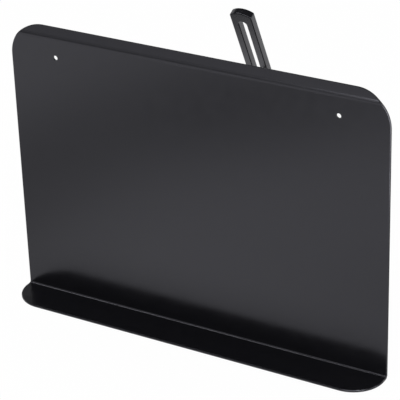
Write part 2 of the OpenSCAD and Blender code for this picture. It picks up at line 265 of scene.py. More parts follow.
bpy.ops.object.mode_set(mode="EDIT")
select_edges(is_front_arris)
bpy.ops.mesh.bevel(offset=edge_break, segments=1, affect="EDGES", clamp_overlap=False)
bpy.ops.object.mode_set(mode="OBJECT")
for side in (-1, 1):
    hole_place = (side * (desk_half_w - hole_inset), face_y, plate_high.z - hole_drop)
    drill = rod("hole_drill", hole_r, 4 * sheet_t, hole_place, towards_reader, sides=48)
    combine(desk, drill, "DIFFERENCE")
soften(desk, coat_round, segments=2, clamp=False)


def new_material(name, colour, roughness, metallic=0.0):
    """A material whose shader has these plain values, with its nodes for more."""
    material = bpy.data.materials.new(name)
    material.use_nodes = True
    shader = material.node_tree.nodes["Principled BSDF"]
    shader.inputs["Base Color"].default_value = (*colour, 1)
    shader.inputs["Roughness"].default_value = roughness
    shader.inputs["Metallic"].default_value = metallic
    return material, shader


def add_node(material, kind, **settings):
    """A new node in a material, with its settings and the defaults of its inputs."""
    node = material.node_tree.nodes.new(kind)
    for key, value in settings.items():
        if key in node.inputs:
            node.inputs[key].default_value = value
        else:
            setattr(node, key, value)
    return node


def noise(material, size, detail=2.0, rough=0.5):
    """Noise on Object coordinates whose grains are about size metres across."""
    place = add_node(material, "ShaderNodeTexCoord")
    grain = add_node(
        material, "ShaderNodeTexNoise", Scale=1 / size, Detail=detail, Roughness=rough
    )
    material.node_tree.links.new(place.outputs["Object"], grain.inputs["Vector"])
    return grain.outputs["Fac"]


def vary(material, source, socket, low, high):
    """Drives a number on the shader from a texture, between two values."""
    spread = add_node(material, "ShaderNodeMapRange")
    spread.inputs["From Min"].default_value, spread.inputs["From Max"].default_value = noise_span
    spread.inputs["To Min"].default_value = low
    spread.inputs["To Max"].default_value = high
    material.node_tree.links.new(source, spread.inputs["Value"])
    material.node_tree.links.new(spread.outputs["Result"], socket)


def vary_colour(material, source, socket, dark, light):
    """Drives the shader's colour from a texture, between two colours."""
    ramp = add_node(material, "ShaderNodeValToRGB")
    for stop, place, colour in zip(ramp.color_ramp.elements, noise_span, (dark, light)):
        stop.position = place
        stop.color = (*colour, 1)
    material.node_tree.links.new(source, ramp.inputs["Fac"])
    material.node_tree.links.new(ramp.outputs["Color"], socket)


def roughen(material, shader, source, height):
    """Raises the surface by a texture, by up to height metres."""
    bump = add_node(material, "ShaderNodeBump", Strength=1.0, Distance=height)
    material.node_tree.links.new(source, bump.inputs["Height"])
    material.node_tree.links.new(bump.outputs["Normal"], shader.inputs["Normal"])


def powder_coat():
    """Satin black powder coat: a fine even grain, with a little more gloss here and there."""
    material, shader = new_material("powder_coat", (0.004, 0.004, 0.005), 0.28)
    vary_colour(
        material, noise(material, 0.004, 4.0), shader.inputs["Base Color"],
        (0.0030, 0.0030, 0.0038), (0.0046, 0.0046, 0.0056),
    )
    vary(material, noise(material, 0.012, 3.0), shader.inputs["Roughness"], 0.18, 0.23)
    shader.inputs["Specular Tint"].default_value = (0.89, 0.885, 1.0, 1)
    shader.inputs["Specular IOR Level"].default_value = 0.58
    roughen(material, shader, noise(material, 0.0008, 2.0), 0.00002)
    return material


coat = powder_coat()


def dress(obj, material):
    """Gives an object one material all over."""
    obj.data.materials.clear()
    obj.data.materials.append(material)


def stand_for(obj, node, body):
    """A finished piece that rides on a body and shows in place of a CAD node."""
    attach(obj, body)
    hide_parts(node)


dress(desk, coat)
stand_for(desk, "desk_plate", "desk")


# Hinge ears
# Two ears folded from 3 mm sheet, one the mirror image of the other, with their flanges
# stitch-welded to the back of the desk. The right one has a round hole for the tilt bolt, and
# the left one a square hole that keeps the bolt from turning.
ear_t = 0.003
ear_r = 0.014
ear_bend_r = 0.002
ear_hole = 0.0085
ear_edge_round = 0.0004
weld_leg = 0.0022
stitch_length = 0.018
stitch_spread = 0.019
ripple_pitch = 0.75
bead_grain = 8
trim = 0.005
drill_reach = 0.1
fine_sharp_edge = math.radians(30)

along_axle = (0, math.pi / 2, 0)
pivot = Vector(joints["desk_tilt"]["pos_m"])


def box_at(name, low, high):
    """A box between two corners, as the start of a piece or as a tool."""
    low, high = Vector(low), Vector(high)
    bpy.ops.mesh.primitive_cube_add(size=1, location=(low + high) / 2)
    box = bpy.context.object
    box.name = box.data.name = name
    box.scale = high - low
    return settle(box)


def hull_of(obj, *others):
    """Joins several shapes and wraps one convex skin round them."""
    active(obj)
    for other in others:
        other.select_set(True)
    bpy.ops.object.join()
    bpy.ops.object.mode_set(mode="EDIT")
    bpy.ops.mesh.select_all(action="SELECT")
    bpy.ops.mesh.convex_hull()
    bpy.ops.object.mode_set(mode="OBJECT")
    return obj


def hinge_ear(name, node, side):
    """One ear: a sheet beside the arm's eye with a round tip, folded outwards at the desk."""
    low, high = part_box(node)
    eye_x, flange_x = (low.x, high.x) if side > 0 else (high.x, low.x)
    bpy.ops.mesh.primitive_plane_add(size=1, rotation=along_axle)
    ear = bpy.context.object
    ear.name = ear.data.name = name
    ear.location = (eye_x, (low.y + high.y + trim) / 2, (low.z + high.z) / 2)
    ear.scale = (high.z - low.z + 2 * trim, high.y - low.y + trim, 1)
    settle(ear)
    bpy.ops.object.mode_set(mode="EDIT")
    select_edges_where(lambda co: co.y < low.y + nearly)
    bpy.ops.mesh.extrude_region_move(TRANSFORM_OT_translate={"value": (flange_x - eye_x, 0, 0)})
    select_edges_where(lambda co: co.y < low.y + nearly and abs(co.x - eye_x) < nearly)
    bpy.ops.mesh.bevel(
        offset=ear_bend_r + ear_t, segments=fold_steps, profile=0.5, affect="EDGES"
    )
    bpy.ops.object.mode_set(mode="OBJECT")
    thicken(ear, ear_t, (-side, 0, 0))
    flange_end = box_at(
        "flange_end", (low.x - trim, low.y - trim, low.z), (high.x + trim, low.y + ear_t, high.z)
    )
    tip_place = ((low.x + high.x) / 2, pivot.y, pivot.z)
    tip = rod("ear_tip", ear_r, high.x - low.x + 2 * trim, tip_place, along_axle)
    combine(ear, hull_of(flange_end, tip), "INTERSECT")
    return ear


def weld_bead(name, start, end, leg, body):
    """A fillet weld laid ripple by ripple along a straight seam, coated like the steel."""
    start, run = Vector(start), Vector(end) - Vector(start)
    step = ripple_pitch * leg
    bpy.ops.mesh.primitive_uv_sphere_add(segments=24, ring_count=12, radius=leg)
    bead = bpy.context.object
    bead.name = bead.data.name = name
    bead.rotation_euler = run.to_track_quat("Z", "Y").to_euler()
    bead.scale = (1, 1, ripple_pitch)
    bead.location = start
    settle(bead)
    apply_modifier(
        bead, "ripples", "ARRAY", count=int(run.length / step) + 1, use_relative_offset=False,
        use_constant_offset=True, constant_offset_displace=step * run.normalized(),
    )
    apply_modifier(bead, "fuse", "REMESH", mode="VOXEL", voxel_size=leg / bead_grain)
    active(bead)
    bpy.ops.object.shade_smooth()
    dress(bead, coat)
    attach(bead, body)


right_ear = hinge_ear("hinge_ear_right", "right_hinge_ear", 1)
combine(right_ear, rod("ear_drill", ear_hole / 2, drill_reach, pivot, along_axle), "DIFFERENCE")
left_ear = hinge_ear("hinge_ear_left", "left_hinge_ear", -1)
half_punch = Vector((drill_reach, ear_hole / 2, ear_hole / 2))
combine(left_ear, box_at("ear_punch", pivot - half_punch, pivot + half_punch), "DIFFERENCE")
for ear, node, side in ((right_ear, "right_hinge_ear", 1), (left_ear, "left_hinge_ear", -1)):
    soften(ear, ear_edge_round, sharp=fine_sharp_edge)
    dress(ear, coat)
    stand_for(ear, node, "desk")
    low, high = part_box(node)
    seam_x = high.x if side > 0 else low.x
    for row, drop in (("upper", stitch_spread), ("lower", -stitch_spread)):
        seam = [
            (seam_x, low.y, pivot.z + drop + end * stitch_length / 2) for end in (-1, 1)
        ]
        weld_bead("%s_stitch_%s" % (ear.name, row), *seam, weld_leg, "desk")


# Slotted bar
# A length of flat steel with shallow round ends and one long slot, in which the clamp bolt
# travels. It is powder-coated like the desk, and leans towards it.
bar_w = 0.0285
bar_t = 0.0095
bar_length = 0.401
bar_end_r = 0.024
slot_w = 0.0105
slot_length = 0.250
slot_margin = 0.014
bar_edge_round = 0.0014

bar_up = Vector(joints["height_slide"]["axis"]).normalized()
bar_back = Vector((0, bar_up.z, -bar_up.y))
bar_tilt = math.atan2(-bar_up.y, bar_up.z)
bar_lean = (bar_tilt, 0, 0)
bar_low_corner, bar_high_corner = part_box("slotted_bar")
# The bar's highest point is its rear upper tip, and its foremost one its front upper tip.
bar_top = Vector((0, bar_low_corner.y, bar_high_corner.z - bar_t * bar_back.z))


def set_at(obj, place, turn):
    """Turns a piece that was made at the origin and puts it at a place."""
    obj.rotation_euler = turn
    obj.location = place
    return settle(obj)


def stretched_rod(name, radius, depth, length, top):
    """A rod along Y, drawn out downwards: its upper end's top lies at height top."""
    made = rod(name, radius, depth, (0, bar_t / 2, top - radius), towards_reader)
    active(made)
    bpy.ops.object.mode_set(mode="EDIT")
    select_verts(lambda co: co.z < top - radius - nearly)
    bpy.ops.transform.translate(value=(0, 0, 2 * radius - length))
    bpy.ops.object.mode_set(mode="OBJECT")
    return made


bar = box_at("slotted_flat_bar", (-bar_w / 2, 0, -bar_length), (bar_w / 2, bar_t, 0))
combine(bar, stretched_rod("end_former", bar_end_r, 3 * bar_t, bar_length, 0), "INTERSECT")
slot_cutter = stretched_rod("slot_cutter", slot_w / 2, 3 * bar_t, slot_length, -slot_margin)
combine(bar, slot_cutter, "DIFFERENCE")
soften(bar, bar_edge_round)
set_at(bar, bar_top, bar_lean)
dress(bar, coat)
stand_for(bar, "slotted_bar", "bar")


# Rubber foot
# A moulded rubber cap pressed over the bar's lower end. Its sole is cut level with the floor
# and has a few shallow grooves across it for grip.
foot_wall = 0.0025
foot_length = 0.026
foot_corner_r = 0.004
foot_corner_steps = 10
foot_edge_round = 0.0004
groove_w = 0.0016
groove_depth = 0.0012
groove_pitch = 0.0048


def round_edges(obj, axis, radius, segments):
    """Rounds the edges of a box that run along one axis."""

    def runs_along(edge):
        run = edge.verts[0].co - edge.verts[1].co
        return abs(run[axis]) > run.length - nearly

    active(obj)
    bpy.ops.object.mode_set(mode="EDIT")
    select_edges(runs_along)
    bpy.ops.mesh.bevel(offset=radius, segments=segments, profile=0.5, affect="EDGES")
    bpy.ops.object.mode_set(mode="OBJECT")


def rubber_black():
    """Moulded black rubber: dull, with a fine pebbled skin and paler scuffs."""
    material, shader = new_material("rubber_black", (0.012, 0.012, 0.012), 0.75)
    vary_colour(
        material, noise(material, 0.006, 5.0, 0.7), shader.inputs["Base Color"],
        (0.010, 0.010, 0.010), (0.020, 0.020, 0.019),
    )
    vary(material, noise(material, 0.003, 3.0), shader.inputs["Roughness"], 0.66, 0.84)
    roughen(material, shader, noise(material, 0.0007, 2.0), 0.00006)
    return material


foot_half_w = bar_w / 2 + foot_wall
foot_back = bar_t + foot_wall
# The cap is drawn longer than it is, and the floor trims it.
foot = box_at(
    "rubber_foot",
    (-foot_half_w, -foot_wall, -bar_length - 2 * foot_back),
    (foot_half_w, foot_back, -bar_length + foot_length),
)
round_edges(foot, 2, foot_corner_r, foot_corner_steps)
pocket = box_at(
    "foot_pocket", (-bar_w / 2, 0, -bar_length), (bar_w / 2, bar_t, foot_length)
)
combine(foot, pocket, "DIFFERENCE")
set_at(foot, bar_top, bar_lean)
active(foot)
bpy.ops.object.mode_set(mode="EDIT")
bpy.ops.mesh.select_all(action="SELECT")
bpy.ops.mesh.bisect(plane_co=(0, 0, 0), plane_no=(0, 0, 1), clear_inner=True, use_fill=True)
bpy.ops.object.mode_set(mode="OBJECT")
sole_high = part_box("bar_foot")[1]
sole_middle_y = sole_high.y - (foot_back + foot_wall) / 2 / bar_up.z
for row in (-1, 0, 1):
    groove_y = sole_middle_y + row * groove_pitch
    groove = box_at(
        "sole_groove",
        (-2 * foot_half_w, groove_y - groove_w / 2, -groove_depth),
        (2 * foot_half_w, groove_y + groove_w / 2, groove_depth),
    )
    combine(foot, groove, "DIFFERENCE")
soften(foot, foot_edge_round)
dress(foot, rubber_black())
stand_for(foot, "bar_foot", "bar")


# Saddle and liner
# A channel folded from 3 mm sheet that slides on the front of the bar, with a thin nylon liner
# pressed into it. A square hole through both keeps the clamp bolt from turning.
saddle_t = 0.003
liner_t = 0.00115
slide_gap = 0.00025
saddle_front = -0.00445
liner_front = -0.0014
channel_back = 0.0075
channel_low = -0.0105
channel_high = 0.0675
saddle_fold_r = 0.005
liner_fold_r = 0.002
saddle_edge_round = 0.0005
liner_edge_round = 0.0002
neck_hole = 0.0105
clamp_knob_seat = 0.01565

clamp_axis = Vector(joints["clamp_knob_turn"]["pos_m"])
# Where the clamp bolt's axis meets the bar's front face: the saddle's and the clamp's origin.
clamp_face = clamp_axis - clamp_knob_seat * bar_back


def channel(name, front, wall, fold_r):
    """A folded channel whose web is in front of the bar, with the bolt's square hole."""
    half_w = bar_w / 2 - front
    bpy.ops.mesh.primitive_plane_add(size=1, rotation=towards_reader)
    made = bpy.context.object
    made.name = made.data.name = name
    made.location = (0, front, (channel_low + channel_high) / 2)
    made.scale = (2 * half_w, channel_high - channel_low, 1)
    settle(made)
    bpy.ops.object.mode_set(mode="EDIT")
    for side in (-1, 1):
        select_edges_where(lambda co: side * co.x > half_w - nearly)
        bpy.ops.mesh.extrude_region_move(
            TRANSFORM_OT_translate={"value": (0, channel_back - front, 0)}
        )
    select_edges_where(lambda co: co.y < front + nearly and abs(co.x) > half_w - nearly)
    bpy.ops.mesh.bevel(offset=fold_r, segments=fold_steps, profile=0.5, affect="EDGES")
    bpy.ops.object.mode_set(mode="OBJECT")
    thicken(made, wall, (0, -1, 0))
    half_hole = Vector((neck_hole / 2, drill_reach, neck_hole / 2))
    combine(made, box_at("neck_punch", -half_hole, half_hole), "DIFFERENCE")
    return made


def nylon_black():
    """Moulded black nylon: half gloss, a little cloudy."""
    material, shader = new_material("nylon_black", (0.022, 0.022, 0.024), 0.42)
    vary_colour(
        material, noise(material, 0.005, 3.0), shader.inputs["Base Color"],
        (0.018, 0.018, 0.020), (0.028, 0.028, 0.031),
    )
    vary(material, noise(material, 0.002, 3.0), shader.inputs["Roughness"], 0.36, 0.50)
    roughen(material, shader, noise(material, 0.0005, 2.0), 0.000012)
    return material


nylon = nylon_black()
saddle = channel("sliding_saddle", saddle_front, saddle_t, saddle_fold_r)
soften(saddle, saddle_edge_round)
liner = channel("sliding_liner", liner_front, liner_t, liner_fold_r)
soften(liner, liner_edge_round)
for piece, node, material, slot in (
    (saddle, "saddle", coat, "powder_coat"),
    (liner, "saddle_liner", nylon, "nylon"),
):
    set_at(piece, clamp_face, bar_lean)
    dress(piece, material)
    stand_for(piece, node, "carriage")


# Carrier arm
# A lever cut from 8 mm steel plate. Its eye turns on the tilt bolt, and its foot stands square
# on the saddle, to which a weld on each side joins it.
arm_t = 0.008
eye_r = 0.013
eye_hole_d = 0.0121
arm_neck_h = 0.020
arm_foot_drop = 0.013
arm_foot_rise = 0.027
arm_edge_round = 0.0007
clamp_drop = 0.030
arm_weld_leg = 0.003

arm_seat = clamp_face + clamp_drop * bar_up + saddle_front * bar_back
arm_length = (arm_seat - pivot).length
arm = box_at(
    "lever_arm", (-arm_t / 2, 0, -arm_neck_h / 2), (arm_t / 2, arm_length, arm_neck_h / 2)
)
bpy.ops.object.mode_set(mode="EDIT")
select_verts(lambda co: co.y > arm_length - nearly and co.z > 0)
bpy.ops.transform.translate(value=(0, 0, arm_foot_rise - arm_neck_h / 2))
select_verts(lambda co: co.y > arm_length - nearly and co.z < 0)
bpy.ops.transform.translate(value=(0, 0, arm_neck_h / 2 - arm_foot_drop))
bpy.ops.object.mode_set(mode="OBJECT")
combine(arm, rod("arm_eye", eye_r, arm_t, (0, 0, 0), along_axle), "UNION")
eye_drill = rod("eye_drill", eye_hole_d / 2, 2 * arm_t, (0, 0, 0), along_axle)
combine(arm, eye_drill, "DIFFERENCE")
soften(arm, arm_edge_round)
set_at(arm, pivot, bar_lean)
dress(arm, coat)
stand_for(arm, "carrier_arm", "carriage")
for name, side in (("left", -1), ("right", 1)):
    seam = [
        arm_seat + (rise + inset) * bar_up + Vector((side * arm_t / 2, 0, 0))
        for rise, inset in ((-arm_foot_drop, arm_weld_leg), (arm_foot_rise, -arm_weld_leg))
    ]
    weld_bead("arm_weld_%s" % name, *seam, arm_weld_leg, "carriage")


# Hinge bolt and washers
# An M8 coach bolt through both ears and the arm's eye, zinc-plated, with a flat steel washer
# under the knob. A nylon bush lines the eye, and a nylon friction washer lies on each side.
tilt_bolt_d = 0.008
tilt_head_d = 0.018
tilt_thread_pitch = 0.00125
bolt_head_h = 0.005
bolt_rim_h = 0.0012
bolt_thread_in_knob = 0.013
# The thread's depth and the width of half its crest, as shares of its pitch.
thread_depth = 0.6
thread_crest = 0.1
washer_t = 0.0018
turn_gap = 0.0001
run_fit = 0.00005
bolt_fit = 0.00025
tilt_washer_d = 0.020
friction_washer_d = 0.024
friction_washer_t = 0.0015
bush_d = 0.012
ring_edge_round = 0.0002

ear_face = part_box("right_hinge_ear")[0].x + ear_t
tilt_knob_place = Vector(joints["tilt_knob_turn"]["pos_m"])


def first_point(name, place):
    """A new piece that is a single point so far, left in edit mode to be drawn on from there."""
    bpy.ops.mesh.primitive_plane_add()
    made = bpy.context.object
    made.name = made.data.name = name
    bpy.ops.object.mode_set(mode="EDIT")
    bpy.ops.mesh.select_mode(type="VERT")
    bpy.ops.mesh.select_all(action="SELECT")
    bpy.ops.mesh.merge(type="CENTER")
    bpy.ops.transform.translate(value=place)
    return made


def turned(name, section, sides=96):
    """A round piece about Z, turned from the points of its half section, (radius, height)."""
    made = first_point(name, (section[0][0], 0, section[0][1]))
    for (radius, height), (next_radius, next_height) in zip(section, section[1:]):
        move = (next_radius - radius, 0, next_height - height)
        bpy.ops.mesh.extrude_region_move(TRANSFORM_OT_translate={"value": move})
    bpy.ops.mesh.select_all(action="SELECT")
    bpy.ops.mesh.spin(steps=sides, angle=2 * math.pi, center=(0, 0, 0), axis=(0, 0, 1))
    bpy.ops.mesh.select_all(action="SELECT")
    bpy.ops.mesh.remove_doubles(threshold=nearly)
    bpy.ops.mesh.normals_make_consistent(inside=False)
    bpy.ops.object.mode_set(mode="OBJECT")
    return made


def ring(name, outer_d, inner_d, low, high):
    """A flat ring about Z between two heights, with its edges broken."""
    inner, outer = inner_d / 2, outer_d / 2
    made = turned(name, [(inner, low), (outer, low), (outer, high), (inner, high), (inner, low)])
    soften(made, ring_edge_round, segments=2)
    return made


def coach_bolt(name, d, head_d, neck_h, length, pitch):
    """A coach bolt about Z: domed head below Z = 0, square neck above it, then the thread."""
    dome_h = bolt_head_h - bolt_rim_h
    dome_r = (head_d**2 / 4 + dome_h**2) / (2 * dome_h)
    dome_angle = math.asin(head_d / 2 / dome_r)
    steps = 12
    section = []
    for step in range(steps + 1):
        angle = dome_angle * step / steps
        height = dome_r - bolt_head_h - dome_r * math.cos(angle)
        section.append((dome_r * math.sin(angle), height))
    section += [(head_d / 2, 0), (d / 2, 0), (d / 2, neck_h)]
    root = d / 2 - thread_depth * pitch
    turns = int((length - neck_h) / pitch) - 1
    for turn in range(turns):
        low = neck_h + turn * pitch
        section += [
            (d / 2, low + thread_crest * pitch),
            (root, low + pitch / 2),
            (d / 2, low + (1 - thread_crest) * pitch),
        ]
    section += [(d / 2, length - pitch), (root, length), (0, length)]
    bolt = turned(name, section, sides=64)
    neck = box_at("bolt_neck", (-d / 2, -d / 2, -bolt_rim_h / 2), (d / 2, d / 2, neck_h))
    combine(bolt, neck, "UNION")
    active(bolt)
    bpy.ops.object.shade_smooth_by_angle(angle=fine_sharp_edge)
    return bolt


def zinc_plate():
    """Bright zinc on steel: a cloudy, faintly blue metal with a soft shine."""
    material, shader = new_material("zinc_plate", (0.62, 0.63, 0.65), 0.3, metallic=1.0)
    vary_colour(
        material, noise(material, 0.004, 4.0), shader.inputs["Base Color"],
        (0.54, 0.55, 0.575), (0.68, 0.69, 0.705),
    )
    vary(material, noise(material, 0.0015, 3.0), shader.inputs["Roughness"], 0.24, 0.40)
    roughen(material, shader, noise(material, 0.0006, 2.0), 0.00001)
    return material


zinc = zinc_plate()
tilt_bolt = coach_bolt(
    "hinge_bolt", tilt_bolt_d, tilt_head_d, ear_t,
    ear_face + tilt_knob_place.x + bolt_thread_in_knob, tilt_thread_pitch,
)
set_at(tilt_bolt, pivot - Vector((ear_face, 0, 0)), along_axle)
tilt_washer = ring("hinge_washer", tilt_washer_d, tilt_bolt_d + 2 * bolt_fit, 0, washer_t)
set_at(tilt_washer, pivot + Vector((ear_face, 0, 0)), along_axle)
for piece, node in ((tilt_bolt, "tilt_bolt"), (tilt_washer, "tilt_washer")):
    dress(piece, zinc)
    stand_for(piece, node, "desk")

eye_bore_d = tilt_bolt_d + 2 * run_fit
bush = ring("eye_bush", bush_d, eye_bore_d, -arm_t / 2, arm_t / 2)
friction_left = ring(
    "friction_pair", friction_washer_d, eye_bore_d, -arm_t / 2 - friction_washer_t, -arm_t / 2
)
friction_right = ring(
    "friction_mate", friction_washer_d, eye_bore_d, arm_t / 2, arm_t / 2 + friction_washer_t
)
active(friction_left)
friction_right.select_set(True)
bpy.ops.object.join()
for piece, node in ((bush, "arm_bush"), (friction_left, "friction_washers")):
    set_at(piece, pivot, along_axle)
    dress(piece, nylon)
    stand_for(piece, node, "carriage")


# Clamp bolt, pressure plate and washer
# An M10 coach bolt through the saddle and the bar's slot. Behind the bar a thick plate with
# round corners spreads the knob's pressure over the slot. All of it is zinc-plated steel.
clamp_bolt_d = 0.010
clamp_head_d = 0.022
clamp_thread_pitch = 0.0015
press_w = 0.025
press_length = 0.040
press_t = 0.004
press_corner_r = 0.004
press_corner_steps = 8
press_edge_round = 0.0006
clamp_washer_d = 0.024

along_clamp = (bar_tilt - math.pi / 2, 0, 0)
clamp_bolt = coach_bolt(
    "slot_bolt", clamp_bolt_d, clamp_head_d, saddle_t,
    clamp_knob_seat - saddle_front + bolt_thread_in_knob, clamp_thread_pitch,
)
set_at(clamp_bolt, clamp_face + saddle_front * bar_back, along_clamp)
press_plate = box_at(
    "press_plate",
    (-press_w / 2, 0, -press_length / 2),
    (press_w / 2, press_t, press_length / 2),
)
round_edges(press_plate, 1, press_corner_r, press_corner_steps)
press_hole_r = clamp_bolt_d / 2 + bolt_fit
press_drill = rod("press_drill", press_hole_r, 4 * press_t, (0, 0, 0), towards_reader, sides=64)
combine(press_plate, press_drill, "DIFFERENCE")
soften(press_plate, press_edge_round)
set_at(press_plate, clamp_face + (bar_t + slide_gap) * bar_back, bar_lean)
clamp_washer = ring("slot_washer", clamp_washer_d, 2 * press_hole_r, 0, washer_t)
set_at(clamp_washer, clamp_axis - (turn_gap + washer_t) * bar_back, along_clamp)
for piece, node in (
    (clamp_bolt, "clamp_bolt"),
    (press_plate, "pressure_plate"),
    (clamp_washer, "clamp_washer"),
):
    dress(piece, zinc)
    stand_for(piece, node, "carriage")


# Knobs
# Two moulded plastic knobs of one design, a large one for the clamp and a smaller one for the
# hinge: five round lobes on a round neck, a brass thread insert, and a snap-in cap.
clamp_knob_d = 0.044
clamp_knob_h = 0.030
tilt_knob_d = 0.040
tilt_knob_h = 0.026
knob_lobes = 5
lobe_r = 0.006
lobe_steps = 20
hollow_steps = 14
hollow_out = 0.008
knob_neck_h = 0.008
knob_neck_d = 0.026
knob_rim_r = 0.0032
knob_rim_steps = 6
knob_edge_round = 0.0003
insert_wall = 0.003
insert_length = 0.015
cap_d = 0.018
cap_h = 0.0025
cap_rise = 0.001


def star_grip(name, d, low, high):
    """A lobed grip about Z: an outline of round lobes and hollows, raised and rounded."""
    lobe_place = d / 2 - lobe_r
    hollow_place = d / 2 + hollow_out
    half_step = math.pi / knob_lobes
    to_hollow = Vector(
        (hollow_place * math.cos(half_step) - lobe_place, hollow_place * math.sin(half_step))
    )
    lobe_half = math.atan2(to_hollow.y, to_hollow.x)
    start = (lobe_place + lobe_r * math.cos(lobe_half), -lobe_r * math.sin(lobe_half), low)
    grip = first_point(name, start)
    for lobe in range(knob_lobes):
        for reach, turn, steps, sweep in (
            (lobe_place, 2 * lobe, lobe_steps, 2 * lobe_half),
            (hollow_place, 2 * lobe + 1, hollow_steps, 2 * (half_step - lobe_half)),
        ):
            angle = turn * half_step
            centre = (reach * math.cos(angle), reach * math.sin(angle), low)
            # Spin turns clockwise, seen from above, for a positive angle.
            bpy.ops.mesh.spin(steps=steps, angle=-sweep, center=centre, axis=(0, 0, 1))
    bpy.ops.mesh.select_all(action="SELECT")
    bpy.ops.mesh.remove_doubles(threshold=nearly)
    bpy.ops.mesh.edge_face_add()
    bpy.ops.mesh.extrude_region_move(TRANSFORM_OT_translate={"value": (0, 0, high - low)})
    bpy.ops.mesh.select_all(action="SELECT")
    bpy.ops.mesh.normals_make_consistent(inside=False)
    for rim in (low, high):
        select_edges_where(lambda co: abs(co.z - rim) < nearly)
        bpy.ops.mesh.bevel(
            offset=knob_rim_r, segments=knob_rim_steps, profile=0.5, affect="EDGES"
        )
    bpy.ops.object.mode_set(mode="OBJECT")
    return grip


def knob_plastic():
    """Black glass-filled plastic: a fine spark-eroded grain that takes little shine."""
    material, shader = new_material("knob_plastic", (0.010, 0.010, 0.011), 0.5)
    vary_colour(
        material, noise(material, 0.003, 4.0), shader.inputs["Base Color"],
        (0.008, 0.008, 0.009), (0.013, 0.013, 0.014),
    )
    vary(material, noise(material, 0.0016, 3.0), shader.inputs["Roughness"], 0.42, 0.56)
    roughen(material, shader, noise(material, 0.00045, 2.0), 0.00004)
    return material


def brass_turned():
    """Turned brass, a little dull."""
    material, shader = new_material("brass_turned", (0.62, 0.43, 0.17), 0.32, metallic=1.0)
    vary_colour(
        material, noise(material, 0.003, 3.0), shader.inputs["Base Color"],
        (0.52, 0.35, 0.13), (0.68, 0.49, 0.21),
    )
    vary(material, noise(material, 0.001, 3.0), shader.inputs["Roughness"], 0.26, 0.42)
    return material


plastic = knob_plastic()
brass = brass_turned()


def knob_set(prefix, place, turn, d, h, bolt_d):
    """One knob with its insert and its cap, which form a body of the same name."""
    seat_r = bolt_d / 2 + insert_wall
    grip = star_grip(prefix + "_grip", d, knob_neck_h, h)
    neck_top = knob_neck_h + d / 8
    neck = rod("knob_neck", knob_neck_d / 2, neck_top, (0, 0, neck_top / 2))
    combine(grip, neck, "UNION")
    combine(grip, rod("seat_drill", seat_r, 2 * insert_length, (0, 0, 0), sides=64), "DIFFERENCE")
    bore_r = bolt_d / 2 + bolt_fit
    combine(grip, rod("bore_drill", bore_r, 2 * h - cap_h, (0, 0, 0), sides=64), "DIFFERENCE")
    combine(grip, rod("cap_seat", cap_d / 2, 2 * cap_h, (0, 0, h), sides=96), "DIFFERENCE")
    soften(grip, knob_edge_round, segments=2)
    insert = ring(
        prefix + "_thread", 2 * (seat_r - run_fit), bolt_d + 2 * run_fit, 0, insert_length
    )
    cap_r = cap_d / 2 - run_fit
    dome_r = (cap_r**2 + cap_rise**2) / (2 * cap_rise)
    steps = 10
    section = [(0, h - cap_h), (cap_r, h - cap_h), (cap_r, h)]
    for step in range(steps - 1, -1, -1):
        radius = cap_r * step / steps
        section.append((radius, h + cap_rise - dome_r + math.sqrt(dome_r**2 - radius**2)))
    cap = turned(prefix + "_disc", section)
    soften(cap, knob_edge_round)
    for piece, node, material, slot in (
        (grip, prefix, plastic, "knob_plastic"),
        (insert, prefix + "_insert", brass, "brass"),
        (cap, prefix + "_cap", plastic, "knob_plastic"),
    ):
        set_at(piece, place, turn)
        dress(piece, material)
        stand_for(piece, node, prefix)


knob_set("clamp_knob", clamp_axis, along_clamp, clamp_knob_d, clamp_knob_h, clamp_bolt_d)
knob_set("tilt_knob", tilt_knob_place, along_axle, tilt_knob_d, tilt_knob_h, tilt_bolt_d)


# Studio
# A plain pale floor that the object stands on, a white surround, and soft lamps above it and
# round it. The eye sees floor and surround as white, and gloss shows how the light lies on them.
floor_size = 6
floor_gap = 0.0002
floor_white_share = 0.97
near_shade_reach = 0.125
pool_centre = (0.2, -0.3, 0)
pool_levels = (
    (0.0, 0.88), (0.15, 0.97), (0.25, 1.0), (0.35, 1.0), (0.45, 0.9),
    (0.55, 0.68), (0.65, 0.56), (0.75, 0.66), (0.85, 0.95), (0.95, 1.0),
)
# A painted patch of shade on the floor in front of the desk, seen only in gloss.
front_shade_centre = (-0.25, -0.74, 0)
front_shade_levels = ((0.0, 0.72), (0.12, 0.80), (0.22, 1.0))
rear_glow_centre = (-0.13, -0.02, 0)
rear_glow_levels = ((0.0, 1.6), (0.05, 1.6), (0.09, 1.0))
shadow_centres = ((0.24, 0.06, 0), (0.38, 0.18, 0), (0.5, 0.32, 0))
shadow_levels = ((0.0, 0.05), (0.11, 0.1), (0.21, 1.0))
panel_levels = ((0.0, 0.62), (0.07, 0.42), (0.18, 1.0), (0.40, 1.0), (0.47, 0.09))
left_panel_span = (-0.56, -0.36)
left_panel_level = 0.72
surround_light = 0.72

bpy.ops.mesh.primitive_plane_add(size=floor_size, location=(0, 0, -floor_gap))
floor = bpy.context.object
floor.name = "studio_floor"


def any_ray(tree, *kinds):
    """A number that is 1 for rays of these kinds, and else 0."""
    path = tree.nodes.new("ShaderNodeLightPath")
    total = path.outputs[kinds[0]]
    for kind in kinds[1:]:
        larger = tree.nodes.new("ShaderNodeMath")
        larger.operation = "MAXIMUM"
        tree.links.new(total, larger.inputs[0])
        tree.links.new(path.outputs[kind], larger.inputs[1])
        total = larger.outputs[0]
    return total


def light_ramp(tree, levels, source):
    """A light level read off a list of places and levels."""
    ramp = tree.nodes.new("ShaderNodeValToRGB")
    tree.links.new(source, ramp.inputs["Fac"])
    ramp.color_ramp.elements[0].position = levels[0][0]
    ramp.color_ramp.elements[1].position = levels[-1][0]
    for place, _ in levels[1:-1]:
        ramp.color_ramp.elements.new(place)
    for stop, (_, share) in zip(ramp.color_ramp.elements, levels):
        stop.color = (share, share, share, 1)
    return ramp.outputs["Color"]


